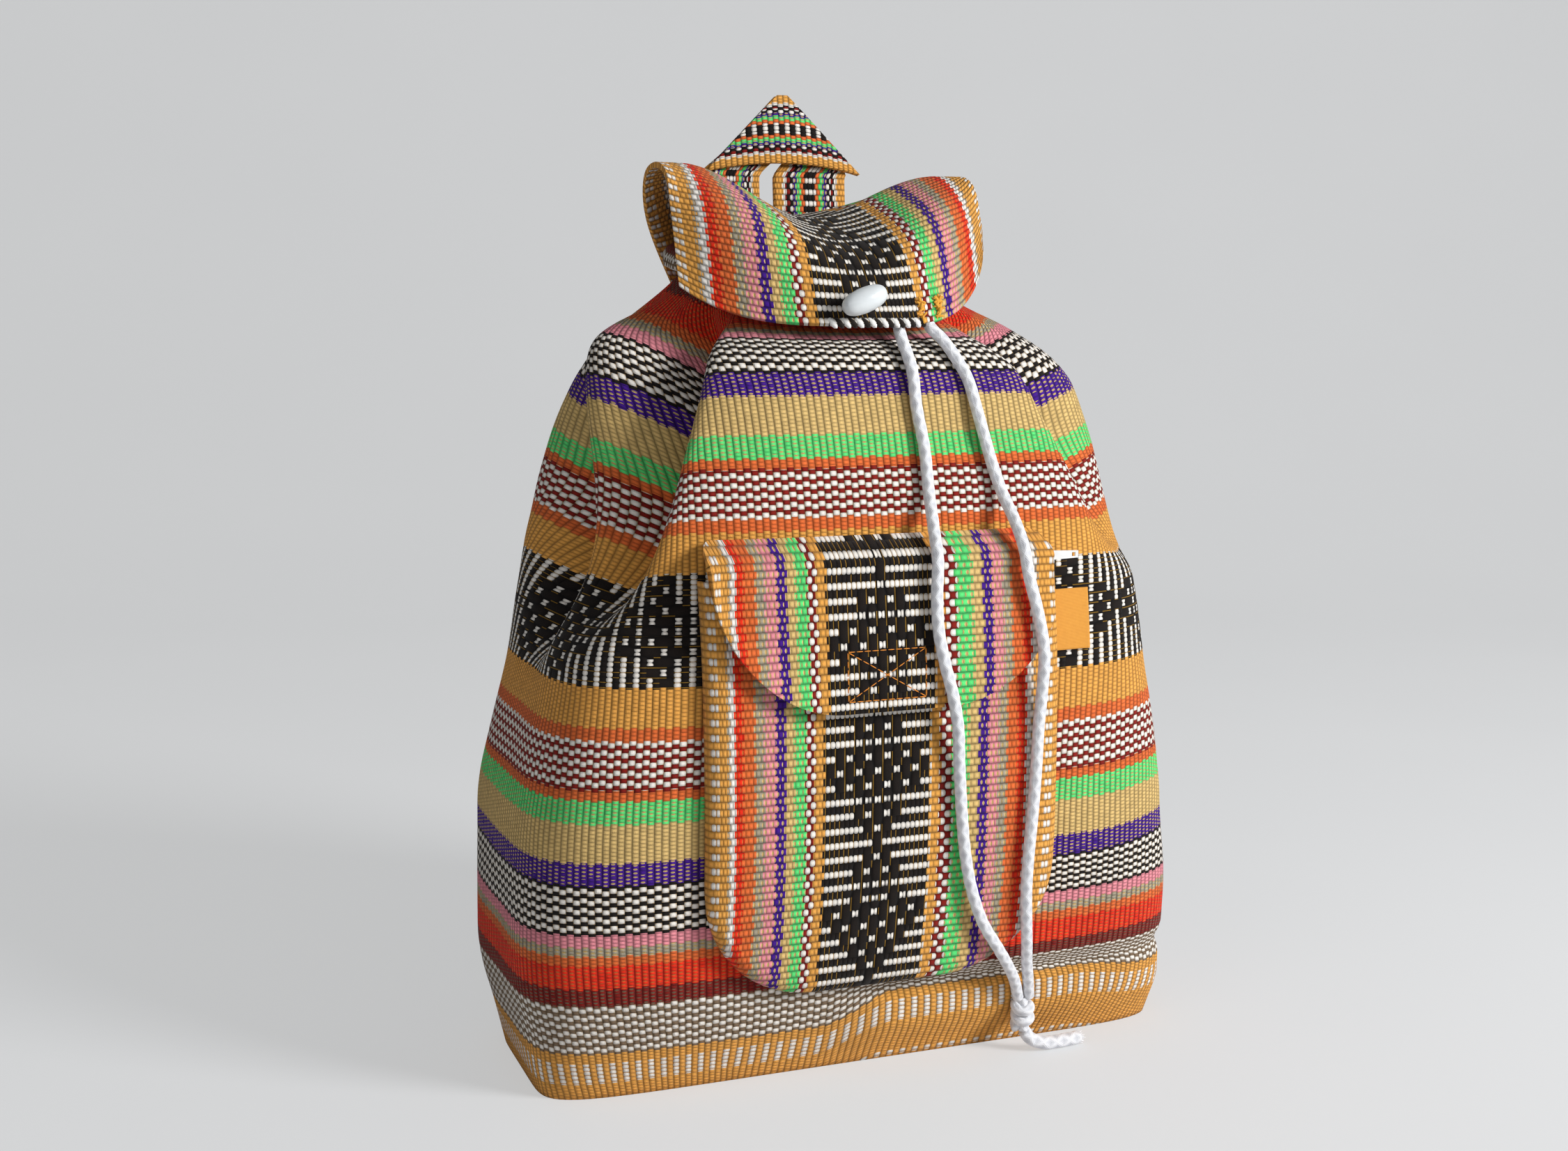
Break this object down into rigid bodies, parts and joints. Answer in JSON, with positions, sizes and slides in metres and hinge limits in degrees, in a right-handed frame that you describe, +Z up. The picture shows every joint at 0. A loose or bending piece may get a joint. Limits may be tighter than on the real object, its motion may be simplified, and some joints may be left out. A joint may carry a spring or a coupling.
{
  "type": "drawstring backpack",
  "caption": "Handwoven striped cotton backpack with a drawn neck, an arched toggle flap, a mitred hang loop, slack shoulder straps and a zipped front pocket under its own flap.",
  "frame": {"origin": "on the flat base, halfway front to back and straight below the middle of the neck across", "axes": "+Z up, -Y the front with the pocket, +X to the right as seen from the front"},
  "size_m": [0.3671, 0.2458, 0.5111],
  "materials": {
    "bag_cloth": "ribbed handwoven cotton, level stripes of orange, red, purple, tan and green with patterned bands",
    "pocket_cloth": "ribbed handwoven cotton, upright stripes with a middle band of diamonds",
    "band": "narrow striped woven band",
    "cord": "white braided cotton",
    "bead": "polished white bead",
    "label": "plain orange tab",
    "patch": "hook and loop tape",
    "zip_tape": "white zip tape and coil",
    "zip_metal": "white enamel"
  },
  "bodies": {
    "bag": {"bag_body": "bag_cloth", "neck_casing": "bag_cloth", "top_flap": "pocket_cloth", "toggle_bead": "bead", "toggle_shank": "cord", "hang_loop": "band", "shoulder_strap_left": "band", "shoulder_strap_right": "band", "front_pocket": "pocket_cloth", "pocket_flap": "pocket_cloth", "pocket_loop_patch": "patch", "flap_hook_patch": "patch", "label_tab": "label", "zip_tape_upper": "zip_tape", "zip_tape_lower": "zip_tape", "zip_stop_left": "zip_metal", "zip_stop_right": "zip_metal", "drawcord_neck": "cord", "drawcord_left_tail": "cord", "drawcord_right_tail": "cord", "drawcord_knot": "cord", "drawcord_end": "cord"},
    "slider": {"zip_slider": "zip_metal"},
    "pull": {"zip_pull": "zip_metal"}
  },
  "joints": [
    {"name": "zip_slide", "type": "slide", "parent": "bag", "child": "slider", "axis": [-1, 0, 0], "range_m": [0, 0.162]},
    {"name": "pull_swing", "type": "hinge", "parent": "slider", "child": "pull", "pos_m": [0.0785, -0.0982, 0.2675], "axis": [0, 0, -1], "range_deg": [0, 10]}
  ]
}
